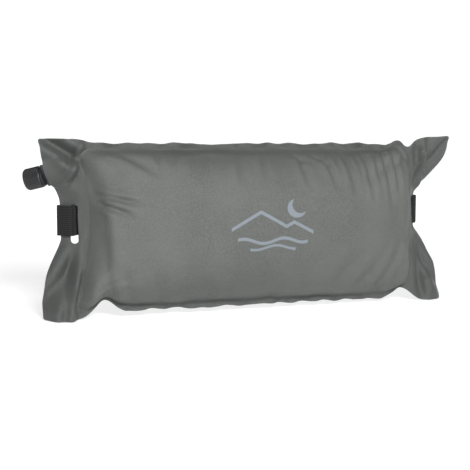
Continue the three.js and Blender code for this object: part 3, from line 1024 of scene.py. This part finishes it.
def fabricFinish(name, printed):
    f = Finish(name, **{"Sheen Weight": .03, "Sheen Roughness": .4, "Specular IOR Level": .3})
    cut = f.add("ShaderNodeUVMap", {"uv_map": "cut"})
    u, v, _ = f.parts(cut)
    weld = f.add("ShaderNodeAttribute", {"attribute_name": "weld"}, None, 2)
    place = f.add("ShaderNodeTexCoord", None, None, 3)
    broad = f.noise(place, 14, 3)
    grain = f.noise(place, 620, 2)
    turn = 2 * math.pi / fabric["thread"]
    weave = (u * turn).wave() * (v * turn).wave()
    slub = f.noise(f.add("ShaderNodeMapping", None, {"Vector": cut, "Scale": (60, 1500, 1)}), 1, 1)
    colour = f.mix(broad.step(.35, .65), fabric["dark"], fabric["light"])
    colour = f.mix(grain.step(.3, .7) * .4 + slub * .2, colour, fabric["edge"])
    margin = weld.step(-.3, .6)
    colour = f.mix(margin * .62, colour, fabric["margin"])
    line = 1 - (weld - .9).size().step(.2, 1.1)
    colour = f.mix(line * .3, colour, fabric["edge"])
    fromEnd = shell["flatLength"] / 2 - u.size()
    fromSide = shell["flatWidth"] / 2 - v.size()
    rim = 1 - fromEnd.least(fromSide).step(.0002, .0012)
    colour = f.mix(rim * .4, colour, fabric["edge"])
    rough = fabric["roughness"] + broad * .1 - margin * .06 + grain * .05
    height = weave * .00005 + grain * .00010 + slub * .00007
    press = 2 * math.pi / fabric["press"]
    knurl = ((u + v) * press).wave() * ((u - v) * press).wave()
    pressed = weld.step(1.4, 1.9) * (1 - weld.step(5.4, 6.2))
    height = height + knurl * pressed * .00006 - line * .00018 - margin * .0001
    if printed:
        ink = motifMask(u, v)
        worn = ink * (.72 + f.noise(place, 900, 2) * .45).least(1)
        colour = f.mix(worn, colour, fabric["ink"])
        rough = rough - ink * .08
        height = height + ink * .00004
    f.feed(Base_Color=colour, Roughness=rough)
    f.bump(height, 1, .9)
    return f.material


def motifMask(u, v):  # a crescent moon over two ridges and a ripple
    u, v = u - motif["x"], v - motif["y"]
    half = motif["stroke"]

    def within(distance, width):
        return 1 - distance.step(width - .0003, width + .0003)

    def ring(x, y):
        return ((u - x) ** 2 + (v - y) ** 2) ** .5

    moon = within(ring(.030, .022), .0125) * (1 - within(ring(.0350, .0262), .0108))
    span = 1 - u.size().step(.0515, .0525)
    ridge = .018 - (u + .016).size() * .62
    second = .004 - (u - .026).size() * .55
    high = within((v - ridge.most(second).most(-.010)).size(), half * 1.15) * span
    low = within((v + .0200 - (u * 125).wave() * .0032).size(), half)
    low = low * (1 - u.size().step(.044, .045))
    lower = within((v + .0290 - (u * 125 + 1.2).wave() * .0028).size(), half * .8)
    lower = lower * (1 - u.size().step(.028, .029))
    return moon.most(high).most(low).most(lower)


webbing = {"rib": .0021, "pick": .0011}  # pitches across and along the strap


def webbingFinish(name):
    f = Finish(name, **{"Sheen Weight": .04, "Sheen Roughness": .5, "Specular IOR Level": .25})
    cut = f.add("ShaderNodeUVMap", {"uv_map": "cut"})
    u, v, _ = f.parts(cut)
    rib = (v * (2 * math.pi / webbing["rib"])).wave()
    cord = (u * (2 * math.pi / webbing["pick"])).wave()
    tuft = f.noise(f.add("ShaderNodeTexCoord", None, None, 3), 1500, 2)
    colour = f.mix(rib.step(-.9, .9) * .7 + tuft * .3, tone(9, 9, 10), tone(33, 33, 35))
    f.feed(Base_Color=colour, Roughness=.72 + tuft * .18)
    f.bump(rib * .00022 + cord * .00005 + tuft * .00005, 1, .8)
    return f.material


def plainFinish(name, low, high, scale, roughness, depth, **fixed):
    f = Finish(name, **fixed)
    place = f.add("ShaderNodeTexCoord", None, None, 3)
    cloud = f.noise(place, scale / 12, 3)
    grain = f.noise(place, scale, 3)
    f.feed(
        Base_Color=f.mix(cloud * .6 + grain * .4, low, high),
        Roughness=roughness + (grain - .5) * .2 + (cloud - .5) * .12,
    )
    f.bump(grain, depth, .7)
    return f.material


def foamFinish(name):
    f = Finish(name, **{"Specular IOR Level": .2})
    place = f.add("ShaderNodeTexCoord", None, None, 3)
    cells = f.add("ShaderNodeTexVoronoi", None, {"Vector": place, "Scale": 700})
    colour = f.mix(cells.step(.1, .6), tone(196, 190, 165), tone(228, 223, 204))
    f.feed(Base_Color=colour, Roughness=.9 + f.noise(place, 60) * .08)
    f.bump(cells, .0005)
    return f.material


def dress(piece, material):
    piece.data.materials.clear()
    piece.data.materials.append(material)


def dressNode(name, material):
    for slot in frame["nodes"][name].material_slots:
        slot.material = material


dress(frontPanel, fabricFinish("coatedFabricFront", True))
dress(backPanel, fabricFinish("coatedFabricBack", False))
dress(elasticStrap, webbingFinish("ribbedElastic"))
plastic = plainFinish(
    "mouldedPlastic", tone(22, 22, 24), tone(40, 41, 42), 2600, .42, .00006,
    **{"Specular IOR Level": .5},
)
thread = plainFinish("twistedThread", tone(20, 20, 21), tone(62, 62, 64), 3200, .7, .0001)
rubber = plainFinish("sealRubber", tone(18, 18, 18), tone(40, 40, 40), 1500, .6, .00005)
dress(valveStem, plastic)
dress(twistCap, plastic)
dress(leftTack, thread)
dress(rightTack, thread)
dress(foamCore, foamFinish("openCellFoam"))
dressNode("valve_stop_ring", plastic)
dressNode("post_seal_ring", rubber)
dressNode("cap_seal_ring", rubber)
print("finishes made")


low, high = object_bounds()
middle = (low + high) / 2


def makeFloor():
    bm = bmesh.new()
    bmesh.ops.create_grid(bm, x_segments=1, y_segments=1, size=9)
    bmesh.ops.translate(bm, verts=bm.verts, vec=(middle.x, middle.y, low.z - .0002))
    floor = makePiece("floor", bm, None)
    f = Finish("glowingFloor", **{"Roughness": .9, "Specular IOR Level": .1, "Emission Strength": 1})
    place = f.add("ShaderNodeTexCoord", None, None, 3)
    f.feed(Base_Color=f.mix(f.noise(place, 8, 3), tone(166, 166, 166), tone(170, 170, 170)))
    x, y, _ = f.parts(place)
    # painted light: the floor glows, dimmer near the pillow and brighter far away, so the shadow shows
    # close by and the far floor reads white
    far = ((x ** 2 + y ** 2) ** .5).step(.35, 1.3)
    glow, farGlow = studio["floorGlow"], studio["farGlow"]
    f.feed(Emission_Color=f.mix(far, (glow,) * 3 + (1,), (farGlow,) * 3 + (1,)))
    dress(floor, f.material)


studio = {
    "surround": 1.06,
    "overhead": .08,
    "fadeFrom": (.13, .32),  # height on the sky where it darkens
    "floorGlow": .72,
    "farGlow": 1.0,
    "key": 48,
    "keyPlace": (-.25, -1.65, .85),
    "keySize": .4,
    "back": 14,
    "backPlace": (.9, 1.6, .9),
    "backSize": 1.0,
}


def makeSky():
    sky = bpy.data.worlds.new("studio")
    bpy.context.scene.world = sky
    f = Finish("studioSky", sky, Color=(1, 1, 1, 1))
    height = f.parts(f.add("ShaderNodeTexCoord"))[2]
    low, high = studio["fadeFrom"]
    values = {
        "Value": height, "From Min": low, "From Max": high,
        "To Min": studio["surround"], "To Max": studio["overhead"],
    }
    f.feed(Strength=f.add("ShaderNodeMapRange", None, values))


def makeLight(name, place, size, power):
    lamp = bpy.data.lights.new(name, "AREA")
    lamp.shape = "DISK"
    lamp.size = size
    lamp.energy = power
    light = bpy.data.objects.new(name, lamp)
    world.objects.link(light)
    light.location = place
    light.rotation_euler = (middle - Vector(place)).to_track_quat("-Z", "Y").to_euler()


camera = {"turn": 19.95, "down": 5.83, "distance": 1.29, "lens": 86.9, "aim": (-.013, .045, -.016)}


def makeCamera():
    view = bpy.data.cameras.new("camera")
    view.lens = camera["lens"]
    view.sensor_width = 36
    holder = bpy.data.objects.new("camera", view)
    world.objects.link(holder)
    turn, down = math.radians(camera["turn"]), math.radians(camera["down"])
    look = Vector((math.sin(turn) * math.cos(down), math.cos(turn) * math.cos(down), -math.sin(down)))
    base = (cadLow + cadHigh) / 2
    target = Vector((0, 0, base.z)) + Vector(camera["aim"])
    holder.location = target - look * camera["distance"]
    holder.rotation_euler = look.to_track_quat("-Z", "Y").to_euler()
    bpy.context.scene.camera = holder


makeFloor()
makeSky()
makeLight("keyLight", studio["keyPlace"], studio["keySize"], studio["key"])
makeLight("backLight", studio["backPlace"], studio["backSize"], studio["back"])
makeCamera()
bpy.context.scene.view_settings.view_transform = "Standard"
print("studio made")
